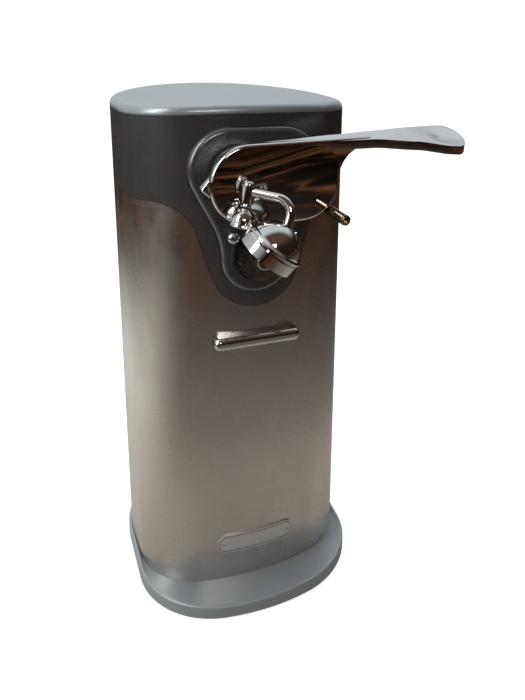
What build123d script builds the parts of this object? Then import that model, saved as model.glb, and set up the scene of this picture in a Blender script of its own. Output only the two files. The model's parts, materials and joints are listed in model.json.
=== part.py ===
from build123d import *
from math import acos, atan2, cos, hypot, pi, radians, sin, sqrt
import os

# Electric can opener that stands on a counter: a steel-wrapped tower on a plastic foot, with a
# lever, a cutting wheel, a drive wheel and a magnetic lid holder on its front.
# Millimetres. Z is up, the front faces -Y, and the origin is on the counter under the tower.

# ---- Housing ---------------------------------------------------------------------------------
height = 230.0            # counter to the crown of the cap
half_width = 51.0         # tower, at its widest
rear_centre_y = 3.0       # centre of the round back
front_y = -47.5           # front of the tower, on the centre line
front_half_width = 49.0   # where the front arc would meet the flanks
front_radius = 112.0
corner_radius = 32.0
steel = 0.7               # sheet of the wrap
wall = 2.5                # moulded walls
gap = 0.2                 # parting gap between covers

foot_front_y = -66.5
foot_half_width = 52.5
foot_front_half_width = 51.0
foot_front_radius = 98.0
foot_corner_radius = 40.0
foot_bottom_z = 1.0
foot_top_z = 7.0          # outer edge of the foot
floor_z = 5.5             # where the ledge meets the tower

wrap_top_z = 190.0        # parting line on the flanks and the back
parting_z = 226.0         # parting line under the cap, on the centre line
crown = 2.0               # how far the top falls from the centre to a flank
crown_radius = (half_width ** 2 + crown ** 2) / (2 * crown)
cap_edge_radius = 3.6

# ---- Front panel -------------------------------------------------------------------------------
lobe_radius = 17.3        # upper corners of the raised panel
lobe_x, lobe_z = 11.0, 203.5
toe_radius = 15.2         # round bottom of the raised panel
toe_z = 165.0
neck_radius = 35.0        # hollow between lobe and toe
neck_angle = 28.6
panel_y = -49.5           # face of the raised panel
panel_back_y = -41.5

apron_toe_radius = 19.7   # round bottom of the shroud's apron
apron_toe_z = 163.0
apron_shoulder_radius = 18.0
apron_shoulder_x = 42.0

# ---- Mechanism ---------------------------------------------------------------------------------
wheel_z = 167.0           # drive wheel, on the centre line
wheel_radius = 10.0
wheel_teeth = 26
wheel_back_y, wheel_front_y = -52.0, -57.0
lever_x, lever_z = -8.0, 201.0     # axis that the lever turns about
lever_front_y, lever_back_y = -67.5, -64.3
pin_x, pin_z = -11.3, 176.2        # short can guide
post_x, post_z = 26.2, 187.7       # long can guide
cutter_z = 182.3
running_fit = 0.05

# ---- Gear train --------------------------------------------------------------------------------
module = 1.0
pinion_teeth = 12
idler_teeth = 42
output_teeth = 44
motor_z = wheel_z - module * (2 * pinion_teeth + 2 * idler_teeth + pinion_teeth + output_teeth) / 2
idler_1_z = motor_z + module * (pinion_teeth + idler_teeth) / 2
idler_2_z = idler_1_z + module * (pinion_teeth + idler_teeth) / 2
gear_width = 5.0
front_plate_y = (-38.0, -36.4)     # front and back faces of the front gear plate
chassis_y = (-13.6, -12.0)         # front and back faces of the chassis plate
plane_a = -15.5                    # back face of the gear that the motor drives
plane_b = plane_a - 7.0
plane_c = plane_b - 7.0
plate_half_width = 26.0
plate_top_z = 213.0

os.makedirs("parts", exist_ok=True)


def finish(piece, label):
    """Label a finished piece and write its STEP file."""
    piece.part.label = label
    export_step(piece.part, f"parts/{label}.step")


def front_plane(y):
    """A plane that faces forward at the given depth: local x is X and local y is Z."""
    return Plane(origin=(0, y, 0), x_dir=(1, 0, 0), z_dir=(0, -1, 0))


def axis_plane(z, y):
    """A plane that faces forward, centred on an axis of the gear train."""
    return Plane(origin=(0, y, z), x_dir=(1, 0, 0), z_dir=(0, -1, 0))


def draw_plan(half, front_half, front, radius, corner, margin=0.0):
    """Draw the plan of the tower or the foot in the current sketch, moved out by the margin."""
    edge_y = front + radius - sqrt(radius ** 2 - front_half ** 2)
    reach = hypot(front_half, edge_y - rear_centre_y)
    turn = atan2(edge_y - rear_centre_y, front_half) + acos(half / reach)
    tangent = (half * cos(turn), rear_centre_y + half * sin(turn))
    mirrored = (-tangent[0], tangent[1])
    with BuildSketch(mode=Mode.PRIVATE) as plan:
        with BuildLine():
            ThreePointArc((-front_half, edge_y), (0, front), (front_half, edge_y))
            Line((front_half, edge_y), tangent)
            ThreePointArc(tangent, (0, rear_centre_y + half), mirrored)
            Line(mirrored, (-front_half, edge_y))
        make_face()
        fillet(plan.vertices().group_by(Axis.Y)[0], corner)
        if margin:
            offset(amount=margin, kind=Kind.TANGENT)
    add(plan.sketch)


def draw_tower(margin=0.0):
    """Draw the tower's plan in the current sketch."""
    draw_plan(half_width, front_half_width, front_y, front_radius, corner_radius, margin)


def draw_foot(margin=0.0):
    """Draw the foot's plan in the current sketch."""
    draw_plan(foot_half_width, foot_front_half_width, foot_front_y, foot_front_radius,
              foot_corner_radius, margin)


def draw_crown(top_z):
    """Draw the region under the crowned line that peaks at top_z, seen from the front."""
    edge_z = top_z + sqrt(crown_radius ** 2 - 60 ** 2) - crown_radius
    with BuildSketch(mode=Mode.PRIVATE) as region:
        with BuildLine():
            ThreePointArc((-60, edge_z), (0, top_z), (60, edge_z))
            Polyline((60, edge_z), (60, 0), (-60, 0), (-60, edge_z))
        make_face()
    add(region.sketch)


def draw_panel(margin=0.0):
    """Draw the outline of the raised panel, seen from the front."""
    lean = radians(neck_angle)
    neck_end = (toe_radius + neck_radius * (1 - cos(lean)), toe_z + neck_radius * sin(lean))
    neck_middle = (toe_radius + neck_radius * (1 - cos(lean / 2)),
                   toe_z + neck_radius * sin(lean / 2))
    lobe_end = (lobe_x + lobe_radius * cos(lean), lobe_z - lobe_radius * sin(lean))
    lobe_middle = (lobe_x + lobe_radius * cos(radians(35)), lobe_z + lobe_radius * sin(radians(35)))
    with BuildSketch(mode=Mode.PRIVATE) as panel:
        with BuildLine():
            Line((0, lobe_z + lobe_radius), (lobe_x, lobe_z + lobe_radius))
            ThreePointArc((lobe_x, lobe_z + lobe_radius), lobe_middle, lobe_end)
            Line(lobe_end, neck_end)
            ThreePointArc(neck_end, neck_middle, (toe_radius, toe_z))
            RadiusArc((toe_radius, toe_z), (0, toe_z - toe_radius), toe_radius)
            mirror(about=Plane.YZ)
        make_face()
        if margin:
            offset(amount=margin, kind=Kind.TANGENT)
    add(panel.sketch)


def draw_apron(margin=0.0):
    """Draw the shroud's apron below the flank parting line, seen from the front."""
    shoulder = (apron_shoulder_x, wrap_top_z - apron_shoulder_radius)
    toe = (0.0, apron_toe_z)
    spread = hypot(shoulder[0] - toe[0], shoulder[1] - toe[1])
    slope = atan2(shoulder[1] - toe[1], shoulder[0])
    swing = acos((apron_toe_radius + apron_shoulder_radius) / spread)
    side = slope - swing
    toe_point = (apron_toe_radius * cos(side), toe[1] + apron_toe_radius * sin(side))
    shoulder_point = (shoulder[0] - apron_shoulder_radius * cos(side),
                      shoulder[1] - apron_shoulder_radius * sin(side))
    half_turn = (pi / 2 + pi + side) / 2
    shoulder_middle = (shoulder[0] + apron_shoulder_radius * cos(half_turn),
                       shoulder[1] + apron_shoulder_radius * sin(half_turn))
    with BuildSketch(mode=Mode.PRIVATE) as apron:
        with BuildLine():
            Polyline((0, wrap_top_z + 20), (60, wrap_top_z + 20), (60, wrap_top_z),
                     (shoulder[0], wrap_top_z))
            ThreePointArc((shoulder[0], wrap_top_z), shoulder_middle, shoulder_point)
            Line(shoulder_point, toe_point)
            ThreePointArc(toe_point, (apron_toe_radius * cos(-pi / 4),
                                      toe[1] + apron_toe_radius * sin(-pi / 4)),
                          (0, toe[1] - apron_toe_radius))
            mirror(about=Plane.YZ)
        make_face()
        if margin:
            offset(amount=margin, kind=Kind.TANGENT)
    add(apron.sketch)


def draw_gear(teeth, tip_up):
    """Draw a spur gear of the train's module with a tooth, or a space, pointing straight up."""
    pitch_radius = module * teeth / 2
    root = pitch_radius - 1.25 * module
    tip = pitch_radius + 0.75 * module
    Circle(root)
    start = 90 if tip_up else 90 + 180 / teeth
    with PolarLocations(0, teeth, start_angle=start):
        Polygon((root - 0.2, -0.85), (tip, -0.36), (tip, 0.36), (root - 0.2, 0.85), align=None)


def cylinder_y(x, z, radius, y_from, y_to, mode=Mode.ADD):
    """Add a round bar along Y to the current part."""
    with BuildSketch(front_plane(max(y_from, y_to))) as disc:
        with Locations((x, z)):
            Circle(radius)
    extrude(disc.sketch, amount=abs(y_to - y_from), mode=mode)


def box_between(low, high, mode=Mode.ADD):
    """Add a block between two corners to the current part."""
    size = [b - a for a, b in zip(low, high)]
    with Locations(tuple(low)):
        Box(*size, align=(Align.MIN, Align.MIN, Align.MIN), mode=mode)


# ================================ Foot ==========================================================
foot_screws = [(-37, -22), (37, -22), (-36, 16), (36, 16)]
foot_pads = [(-31, -45), (31, -45), (-27, 33), (27, 33), (0, 0)]

with BuildPart() as base:
    with BuildSketch(Plane.XY.offset(foot_bottom_z)):
        draw_foot()
    extrude(amount=foot_top_z - foot_bottom_z)
    fillet(base.edges().group_by(Axis.Z)[-1], 0.9)
    # the ledge falls towards the tower
    with BuildSketch(Plane.XY.offset(foot_top_z)):
        draw_foot(-1.35)
    with BuildSketch(Plane.XY.offset(floor_z)):
        draw_tower(0.12)
    loft(mode=Mode.SUBTRACT)
    # hollow underside
    with BuildSketch(Plane.XY.offset(foot_bottom_z)):
        draw_foot(-wall)
    extrude(amount=2.2, mode=Mode.SUBTRACT)
    # collar that locates the wrap from inside
    with BuildSketch(Plane.XY.offset(floor_z)):
        draw_tower(-steel - gap)
        with BuildSketch(mode=Mode.PRIVATE) as collar_bore:
            draw_tower(-steel - gap - 2.0)
        add(collar_bore.sketch, mode=Mode.SUBTRACT)
    extrude(amount=8.0)
    for x, y in foot_screws:
        with Locations((x, y, foot_bottom_z + 1.8)):
            Cylinder(3.6, floor_z - foot_bottom_z - 1.8, align=(Align.CENTER, Align.CENTER, Align.MIN))
            Cylinder(1.5, 5.0, align=(Align.CENTER, Align.CENTER, Align.MIN), mode=Mode.SUBTRACT)
finish(base, "base")

with BuildPart() as bottom_plate:
    with BuildSketch(Plane.XY.offset(foot_bottom_z + 0.2)):
        draw_foot(-wall - gap)
        with Locations(*foot_screws):
            Circle(1.7, mode=Mode.SUBTRACT)
        with Locations(*foot_pads):
            Circle(2.5, mode=Mode.SUBTRACT)
        with Locations((0, 20)):
            with GridLocations(6, 1, 7, 1):
                SlotOverall(14, 2.4, rotation=90, mode=Mode.SUBTRACT)
    extrude(amount=1.5)
finish(bottom_plate, "bottom_plate")

with BuildPart() as rubber_feet:
    with BuildSketch() as pad_faces:
        with Locations(*foot_pads):
            Circle(6.5)
    extrude(amount=foot_bottom_z + 0.2)
    chamfer(rubber_feet.edges().group_by(Axis.Z)[0], 0.4)
    with BuildSketch(Plane.XY.offset(foot_bottom_z + 0.2)):
        with Locations(*foot_pads):
            Circle(2.5)
    extrude(amount=1.5)
finish(rubber_feet, "rubber_feet")

with BuildPart() as base_screws:
    for x, y in foot_screws:
        with Locations((x, y, foot_bottom_z - 0.4)):
            Cylinder(2.8, 0.6, align=(Align.CENTER, Align.CENTER, Align.MIN))
            Cylinder(1.45, 5.6, align=(Align.CENTER, Align.CENTER, Align.MIN))
finish(base_screws, "base_screws")

# ================================ Covers ========================================================
cover_half_width = 31.0   # rear cover
cover_screws = [(-12, 44), (12, 44), (-12, 174), (12, 174)]
bar_z, bar_length, bar_height, bar_front_y = 128.1, 38.6, 5.8, -51.6
badge_z, badge_length, badge_height, badge_thickness = 24.6, 37.4, 9.3, 0.7
inlet_z, inlet_radius = 24.0, 6.0
cover_back_y = rear_centre_y + half_width
screw_seat_y = 51.2       # floor of the screw recesses in the rear cover

with BuildPart() as steel_wrap:
    with BuildSketch(Plane.XY.offset(floor_z + 0.1)):
        draw_tower()
        with BuildSketch(mode=Mode.PRIVATE) as wrap_bore:
            draw_tower(-steel)
        add(wrap_bore.sketch, mode=Mode.SUBTRACT)
    extrude(amount=wrap_top_z - floor_z - 0.1 - gap)
    with BuildSketch(front_plane(0)):
        draw_apron(gap)
    extrude(amount=80, mode=Mode.SUBTRACT)
    box_between((-cover_half_width - gap, 20, 0), (cover_half_width + gap, 70, height),
                mode=Mode.SUBTRACT)
finish(steel_wrap, "steel_wrap")

with BuildPart() as rear_cover:
    with BuildSketch(Plane.XY.offset(floor_z + 0.1)):
        draw_tower()
        with BuildSketch(mode=Mode.PRIVATE) as cover_bore:
            draw_tower(-wall)
        add(cover_bore.sketch, mode=Mode.SUBTRACT)
    extrude(amount=wrap_top_z - floor_z - 0.1 - gap)
    box_between((-cover_half_width, 20, 0), (cover_half_width, 70, height), mode=Mode.INTERSECT)
    # collar clearance at the foot
    with BuildSketch(Plane.XY.offset(floor_z)):
        draw_tower(-steel - 0.02)
    extrude(amount=8.3, mode=Mode.SUBTRACT)
    # cooling slots and the cord inlet
    with BuildSketch(Plane.XZ):
        with Locations((0, 88)):
            with GridLocations(1, 7, 1, 8):
                SlotOverall(34, 3.2)
        with Locations((0, inlet_z)):
            Circle(inlet_radius)
    extrude(amount=-80, mode=Mode.SUBTRACT)
    for x, z in cover_screws:
        cylinder_y(x, z, 5.0, screw_seat_y - 4, screw_seat_y - 0.3)
        cylinder_y(x, z, 3.3, screw_seat_y, cover_back_y, mode=Mode.SUBTRACT)
        cylinder_y(x, z, 1.7, screw_seat_y - 10, cover_back_y, mode=Mode.SUBTRACT)
finish(rear_cover, "rear_cover")

with BuildPart() as cord_gland:
    cylinder_y(0, inlet_z, inlet_radius - 0.1, cover_back_y - 5.5, cover_back_y + 0.8)
    cylinder_y(0, inlet_z, inlet_radius + 1.8, cover_back_y + 0.2, cover_back_y + 1.8)
    cylinder_y(0, inlet_z, inlet_radius + 1.5, cover_back_y - 5.0, cover_back_y - 3.2)
    cylinder_y(0, inlet_z, 3.4, cover_back_y - 8, cover_back_y + 4, mode=Mode.SUBTRACT)
    fillet(cord_gland.edges().filter_by(GeomType.CIRCLE).group_by(Axis.Y)[-1], 0.5)
finish(cord_gland, "cord_gland")

with BuildPart() as cover_screw_group:
    for x, z in cover_screws:
        cylinder_y(x, z, 1.6, screw_seat_y - 9, screw_seat_y + 0.5)
        cylinder_y(x, z, 2.9, screw_seat_y, screw_seat_y + 1.3)
finish(cover_screw_group, "rear_cover_screws")

with BuildPart() as upper_shroud:
    with BuildSketch(Plane.XY.offset(130)):
        draw_tower()
    extrude(amount=110)
    with BuildSketch(front_plane(80)):
        draw_crown(parting_z)
    extrude(amount=160, mode=Mode.INTERSECT)
    with BuildSketch(Plane.XY.offset(120)):
        draw_tower(-wall)
    extrude(amount=120, mode=Mode.SUBTRACT)
    # keep the band above the flank parting line, and the apron in front of it
    with BuildSketch(front_plane(0)):
        with Locations((0, wrap_top_z / 2)):
            Rectangle(3 * half_width, wrap_top_z)
        with BuildSketch(mode=Mode.PRIVATE) as apron:
            draw_apron()
        add(apron.sketch, mode=Mode.SUBTRACT)
    extrude(amount=90, mode=Mode.SUBTRACT)
    box_between((-70, -0.01, 100), (70, 80, wrap_top_z), mode=Mode.SUBTRACT)
    # spigot that holds the top of the wrap from inside
    with BuildSketch(Plane.XY.offset(wrap_top_z - 7)):
        draw_tower(-steel - gap)
        with BuildSketch(mode=Mode.PRIVATE) as spigot_bore:
            draw_tower(-wall - 1.2)
        add(spigot_bore.sketch, mode=Mode.SUBTRACT)
        with Locations((0, 45)):
            Rectangle(2 * cover_half_width + 2, 60, mode=Mode.SUBTRACT)
        with Locations((0, -60)):
            Rectangle(120, 80, mode=Mode.SUBTRACT)
    extrude(amount=9)
    # window for the raised panel, and the hole for the long can guide
    with BuildSketch(front_plane(-20)):
        draw_panel(0.15)
    extrude(amount=60, mode=Mode.SUBTRACT)
    cylinder_y(post_x, post_z, 2.3, -30, -60, mode=Mode.SUBTRACT)
finish(upper_shroud, "upper_shroud")

with BuildPart() as top_cap:
    with BuildSketch(Plane.XY.offset(200)):
        draw_tower()
    extrude(amount=50)
    with BuildSketch(front_plane(80)):
        draw_crown(height)
    extrude(amount=160, mode=Mode.INTERSECT)
    fillet(top_cap.edges().group_by(Axis.Z)[-1], cap_edge_radius)
    with BuildSketch(front_plane(80)):
        draw_crown(parting_z + 0.15)
    extrude(amount=160, mode=Mode.SUBTRACT)
    # locating rim inside the shroud
    with BuildSketch(Plane.XY.offset(parting_z - 4.4)):
        draw_tower(-wall - gap)
        with BuildSketch(mode=Mode.PRIVATE) as rim_bore:
            draw_tower(-wall - gap - 1.8)
        add(rim_bore.sketch, mode=Mode.SUBTRACT)
    extrude(amount=5.6)
finish(top_cap, "top_cap")

with BuildPart() as rest_bar:
    with BuildSketch(front_plane(-40)):
        with Locations((0, bar_z)):
            SlotOverall(bar_length, bar_height)
    extrude(amount=-40 - bar_front_y)
    fillet(rest_bar.edges().group_by(Axis.Y)[0], 2.3)
    with BuildSketch(Plane.XY.offset(100)):
        draw_tower()
    extrude(amount=60, mode=Mode.SUBTRACT)
finish(rest_bar, "rest_bar")

with BuildPart() as badge_plate:
    with BuildSketch(Plane.XY.offset(10)):
        draw_tower(badge_thickness)
    extrude(amount=30)
    with BuildSketch(front_plane(0)):
        with Locations((0, badge_z)):
            SlotOverall(badge_length, badge_height)
    extrude(amount=60, mode=Mode.INTERSECT)
    with BuildSketch(Plane.XY.offset(5)):
        draw_tower()
    extrude(amount=40, mode=Mode.SUBTRACT)
finish(badge_plate, "badge_plate")

# ================================ Front panel ===================================================
with BuildPart() as mechanism_plate:
    with BuildSketch(front_plane(panel_back_y)):
        draw_panel()
    extrude(amount=panel_back_y - panel_y)
    fillet(mechanism_plate.edges().group_by(Axis.Y)[0], 2.2)
    with BuildSketch(front_plane(panel_back_y)):
        draw_panel(-2.4)
    extrude(amount=panel_back_y - panel_y - 2.8, mode=Mode.SUBTRACT)
    # bosses around the drive shaft and the lever shaft
    cylinder_y(0, wheel_z, 11.9, panel_back_y, panel_y - 0.9)
    cylinder_y(lever_x, lever_z, 9.0, panel_back_y, panel_y)
    cylinder_y(0, wheel_z, 10.9, panel_y + 1.0, panel_y - 3, mode=Mode.SUBTRACT)
    cylinder_y(0, wheel_z, 6.0, -30, -60, mode=Mode.SUBTRACT)
    cylinder_y(lever_x, lever_z, 6.0, -30, -60, mode=Mode.SUBTRACT)
    cylinder_y(pin_x, pin_z, 1.6, -30, -60, mode=Mode.SUBTRACT)
finish(mechanism_plate, "mechanism_plate")

with BuildPart() as can_guide_pin:
    cylinder_y(pin_x, pin_z, 1.55, panel_back_y, panel_y)
    cylinder_y(pin_x, pin_z, 2.6, panel_y, panel_y - 5.4)
    fillet(can_guide_pin.edges().group_by(Axis.Y)[0], 2.2)
finish(can_guide_pin, "can_guide_pin")

with BuildPart() as can_guide_post:
    cylinder_y(post_x, post_z, 2.2, -38.2, -79.6)
    cylinder_y(post_x, post_z, 1.5, -79.6, -80.2)
    cylinder_y(post_x, post_z, 1.1, -81, -78.2, mode=Mode.SUBTRACT)
    fillet(can_guide_post.edges().filter_by(GeomType.CIRCLE).group_by(Axis.Y)[1], 0.3)
finish(can_guide_post, "can_guide_post")

with BuildPart() as guide_post_nut:
    with BuildSketch(front_plane(-38.5)):
        with Locations((post_x, post_z)):
            RegularPolygon(4.2, 6)
            Circle(2.2, mode=Mode.SUBTRACT)
    extrude(amount=2.0)
finish(guide_post_nut, "guide_post_nut")

# ================================ Lever =========================================================
plate_left_radius = 16.0
plate_right_radius = 16.1
plate_right = (12.7, 201.4)
web_end_x = 42.0
hub_radius = 13.3

with BuildPart() as lever:
    with BuildSketch(front_plane(lever_back_y)) as lever_face:
        with BuildLine():
            CenterArc((lever_x, lever_z), plate_left_radius, 0, 360)
            CenterArc(plate_right, plate_right_radius, 0, 360)
        make_hull()
        web_centre = (web_end_x + 0.2, lever_z + 0.2)
        web_radius = 13.7
        with BuildLine():
            Polyline((web_centre[0] - web_radius, web_centre[1]), (0, lever_z), (0, 217.05),
                     (web_end_x, 218.25), (web_end_x, web_centre[1] + web_radius))
            ThreePointArc((web_end_x, web_centre[1] + web_radius),
                          (web_centre[0] - web_radius * cos(pi / 4),
                           web_centre[1] + web_radius * sin(pi / 4)),
                          (web_centre[0] - web_radius, web_centre[1]))
        make_face()
    extrude(amount=lever_back_y - lever_front_y)
    fillet(lever.edges().group_by(Axis.Y)[0], 1.3)
    # shallow pocket at the root of the handle
    with BuildSketch(front_plane(lever_front_y + 0.5)) as pocket:
        Polygon((24.8, 215.2), (34.6, 215.0), (29.4, 205.2), align=None)
        fillet(pocket.vertices(), 1.2)
    extrude(amount=5, mode=Mode.SUBTRACT)
    # handle: a bar that widens, and leans forward, towards the thumb pad
    for x, front, back, front_z, back_z, thick in [
            (26.0, -67.5, -63.6, 217.7, 218.9, 5.2),
            (44.0, -68.2, -62.4, 217.3, 219.8, 3.9),
            (62.0, -70.4, -59.8, 215.9, 220.4, 3.8),
            (78.0, -72.6, -57.4, 213.7, 220.4, 3.7),
            (90.0, -72.8, -57.2, 212.6, 219.6, 3.7)]:
        with BuildSketch(Plane(origin=(x, 0, 0), x_dir=(0, 1, 0), z_dir=(1, 0, 0))) as section:
            Polygon((front, front_z), (back, back_z), (back, back_z - thick),
                    (front + 0.4, front_z - thick), align=None)
            fillet(section.vertices(), 1.0)
    loft(mode=Mode.ADD)
    with BuildSketch(Plane.XY.offset(150)):
        with Locations((79.2, -65.0)):
            Circle(8.0)
        with BuildLine():
            Polyline((-60, -100), (79.2, -100), (79.2, -30), (-60, -30), close=True)
        make_face()
    extrude(amount=100, mode=Mode.INTERSECT)
    # hub that stands off the front panel, with its stop lug
    cylinder_y(lever_x, lever_z, hub_radius + 0.9, lever_back_y, -57)
    cylinder_y(lever_x, lever_z, hub_radius, -57, panel_y - 0.4)
    with BuildSketch(front_plane(-56)):
        with BuildLine():
            Polyline((lever_x - 11, lever_z + 7.4), (lever_x - 17.8, lever_z - 2.2),
                     (lever_x - 11, lever_z - 9.6), close=True)
        make_face()
    extrude(amount=4.2)
    # lug that carries the cutting wheel
    with BuildSketch(front_plane(-60.9)):
        with BuildLine():
            CenterArc((0, cutter_z), 4.6, 0, 360)
            CenterArc((0, cutter_z + 9), 4.6, 0, 360)
        make_hull()
    extrude(amount=-60.9 - lever_back_y)
    cylinder_y(0, cutter_z, 2.0, -50, lever_back_y, mode=Mode.SUBTRACT)
    cylinder_y(lever_x, lever_z, 4.0, -40, -62, mode=Mode.SUBTRACT)
finish(lever, "lever")

with BuildPart() as lever_shaft:
    cylinder_y(lever_x, lever_z, 4.0, -62, chassis_y[1] + 1.0)
    cylinder_y(lever_x, lever_z, 5.5, panel_back_y + 1.5, panel_back_y + 3.0)
finish(lever_shaft, "lever_shaft")

with BuildPart() as lever_bushing:
    cylinder_y(lever_x, lever_z, 6.0, panel_back_y, panel_y)
    cylinder_y(lever_x, lever_z, 4.0 + running_fit, -30, -60, mode=Mode.SUBTRACT)
finish(lever_bushing, "lever_bushing")

cam_y = (-20.0, -16.0)
with BuildPart() as switch_cam:
    with BuildSketch(front_plane(cam_y[1])):
        with BuildLine():
            CenterArc((lever_x, lever_z), 7.0, 0, 360)
            CenterArc((lever_x + 17.0, lever_z + 2.0), 2.0, 0, 360)
        make_hull()
        with Locations((lever_x, lever_z)):
            Circle(4.0, mode=Mode.SUBTRACT)
    extrude(amount=cam_y[1] - cam_y[0])
finish(switch_cam, "switch_cam")

with BuildPart() as cutter_wheel:
    with BuildSketch(Plane.YZ) as blade_section:
        Polygon((-60.6, cutter_z + 2.05), (-60.6, cutter_z + 3.6), (-59.6, cutter_z + 4.0),
                (-58.0, cutter_z + 5.7), (-57.6, cutter_z + 5.7), (-57.6, cutter_z + 3.1),
                (-58.5, cutter_z + 3.1), (-58.5, cutter_z + 2.05), align=None)
    revolve(axis=Axis((0, 0, cutter_z), (0, 1, 0)))
finish(cutter_wheel, "cutter_wheel")

with BuildPart() as cutter_pin:
    cylinder_y(0, cutter_z, 2.0, lever_back_y, -58.4)
    cylinder_y(0, cutter_z, 2.9, -58.4, -57.6)
finish(cutter_pin, "cutter_pin")

# ================================ Magnetic lid holder ===========================================
# The swivel stands on the lever, leaning a little; the arm hooks over to the lid magnet.
swivel = Plane(origin=(-13.1, -72.2, 186.9), x_dir=(1, 0, -0.17), z_dir=(0.17, 0, 1))
brim_radius, swivel_radius = 4.3, 1.4
lug_low, lug_high = 9.3, 11.7      # along the swivel, from its brim
eye_low, eye_high = 11.8, 15.6
swivel_top = 17.8
rod_radius = 1.8
cup_rim = Vector(-8.0, -84.0, 178.3)
cup_lean = radians(50.9)           # how far the cup's mouth points down from level
cup_turn = radians(10.6)           # how far it turns towards the tower
cup_out = Vector(-cos(cup_lean) * cos(cup_turn), sin(cup_turn), -sin(cup_lean) * cos(cup_turn))
tilt_axis = Vector(cup_out.Y, -cup_out.X, 0).normalized()
cup_height, cup_radius = 14.1, 11.3
cup_wall = 1.0
ball_radius, tilt_pin_radius = 2.8, 0.75
cup_top = cup_rim - cup_out * cup_height
ball_centre = cup_top + cup_out * 2.6
eye_centre = swivel.origin + swivel.z_dir * ((eye_low + eye_high) / 2)
hook_corner = Vector(2.9, -85.3, 198.6)

with BuildPart() as swivel_pin:
    with BuildSketch(Plane(swivel.origin, x_dir=swivel.x_dir, z_dir=(0, -1, 0))):
        with BuildLine():
            Polyline((0, 0), (brim_radius - 0.3, 0), (brim_radius, 0.4), (4.0, 1.0), (3.9, 2.4))
            ThreePointArc((3.9, 2.4), (3.3, 6.2), (swivel_radius, 9.2))
            Polyline((swivel_radius, 9.2), (swivel_radius, 15.7), (2.2, 15.7), (2.2, 16.5),
                     (1.8, 17.3), (1.0, swivel_top), (0, swivel_top), (0, 0))
        make_face()
    revolve(axis=Axis(swivel.origin, swivel.z_dir))
finish(swivel_pin, "swivel_pin")

with BuildPart() as swivel_lug:
    with BuildSketch(swivel.offset(lug_low)):
        with BuildLine():
            CenterArc((0, 0), 2.6, 0, 360)
            CenterArc((0.4, 3.4), 2.6, 0, 360)
        make_hull()
        Circle(swivel_radius, mode=Mode.SUBTRACT)
    extrude(amount=lug_high - lug_low)
    with BuildSketch(front_plane(lever_front_y)):
        with Locations((0, lever_z)):
            Rectangle(120, 120)
    extrude(amount=-20, mode=Mode.SUBTRACT)
finish(swivel_lug, "swivel_lug")

with BuildPart() as magnet_arm:
    with BuildSketch(swivel.offset(eye_low)):
        Circle(2.9)
    extrude(amount=eye_high - eye_low)
    with BuildLine() as hook:
        FilletPolyline(eye_centre, hook_corner, ball_centre, radius=6.0)
    with BuildSketch(Plane(origin=hook.line @ 0, z_dir=hook.line % 0)):
        Circle(rod_radius)
    sweep()
    with Locations(ball_centre):
        Sphere(ball_radius)
    with BuildSketch(Plane(origin=ball_centre, z_dir=tilt_axis)):
        Circle(tilt_pin_radius + running_fit)
    extrude(amount=ball_radius + 1, both=True, mode=Mode.SUBTRACT)
    with BuildSketch(swivel.offset(eye_low - 1)):
        Circle(swivel_radius + running_fit)
    extrude(amount=eye_high - eye_low + 2, mode=Mode.SUBTRACT)
finish(magnet_arm, "magnet_arm")

with BuildPart() as magnet_cup:
    cup_plane = Plane(origin=cup_top, x_dir=tilt_axis, z_dir=cup_out)
    with BuildSketch(Plane(origin=cup_top, x_dir=tilt_axis, z_dir=tilt_axis.cross(cup_out))):
        with BuildLine():
            Polyline((0, 0), (3.2, 0))
            ThreePointArc((3.2, 0), (7.2, 2.8), (9.8, 7.0))
            Polyline((9.8, 7.0), (10.9, 7.3), (cup_radius + 0.4, 7.9), (cup_radius + 0.4, 8.6),
                     (cup_radius - 0.2, 9.1), (cup_radius, 9.8), (cup_radius, cup_height),
                     (cup_radius - cup_wall, cup_height), (cup_radius - cup_wall, 9.6), (8.9, 7.4))
            ThreePointArc((8.9, 7.4), (6.4, 3.9), (3.4, 1.3))
            Polyline((3.4, 1.3), (0, 1.3), (0, 0))
        make_face()
    revolve(axis=Axis(cup_top, cup_out))
    # slot that lets the ball of the arm in and the cup tip
    with Locations(ball_centre):
        Sphere(ball_radius + 0.4, mode=Mode.SUBTRACT)
    rod_up = hook.line % 1 * -1
    with BuildSketch(Plane(origin=ball_centre, x_dir=tilt_axis.cross(rod_up), z_dir=rod_up)):
        with BuildLine():
            CenterArc((0, 0), rod_radius + 0.4, 0, 360)
            CenterArc((2.2, 0), rod_radius + 0.4, 0, 360)
        make_hull()
    extrude(amount=20, mode=Mode.SUBTRACT)
    # pin through the ball, which the cup tips on
    with BuildSketch(Plane(origin=ball_centre, z_dir=tilt_axis)):
        Circle(tilt_pin_radius)
    extrude(amount=6.2, both=True)
finish(magnet_cup, "magnet_cup")

with BuildPart() as lid_magnet:
    with BuildSketch(cup_plane.offset(cup_height - 4.4)):
        Circle(cup_radius - cup_wall)
        Circle(2.0, mode=Mode.SUBTRACT)
    extrude(amount=3.9)
    chamfer(lid_magnet.edges().filter_by(GeomType.CIRCLE).sort_by(SortBy.RADIUS)[-2:], 0.3)
finish(lid_magnet, "lid_magnet")

# ================================ Drive =========================================================
shaft_radius = 3.5
with BuildPart() as drive_wheel:
    with BuildSketch(axis_plane(wheel_z, wheel_back_y)):
        Circle(wheel_radius - 0.9)
        with PolarLocations(0, wheel_teeth, start_angle=90):
            Polygon((wheel_radius - 1.4, -1.0), (wheel_radius, -0.18), (wheel_radius, 0.18),
                    (wheel_radius - 1.4, 1.0), align=None)
        Circle(shaft_radius, mode=Mode.SUBTRACT)
    extrude(amount=wheel_back_y - wheel_front_y)
finish(drive_wheel, "drive_wheel")

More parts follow.
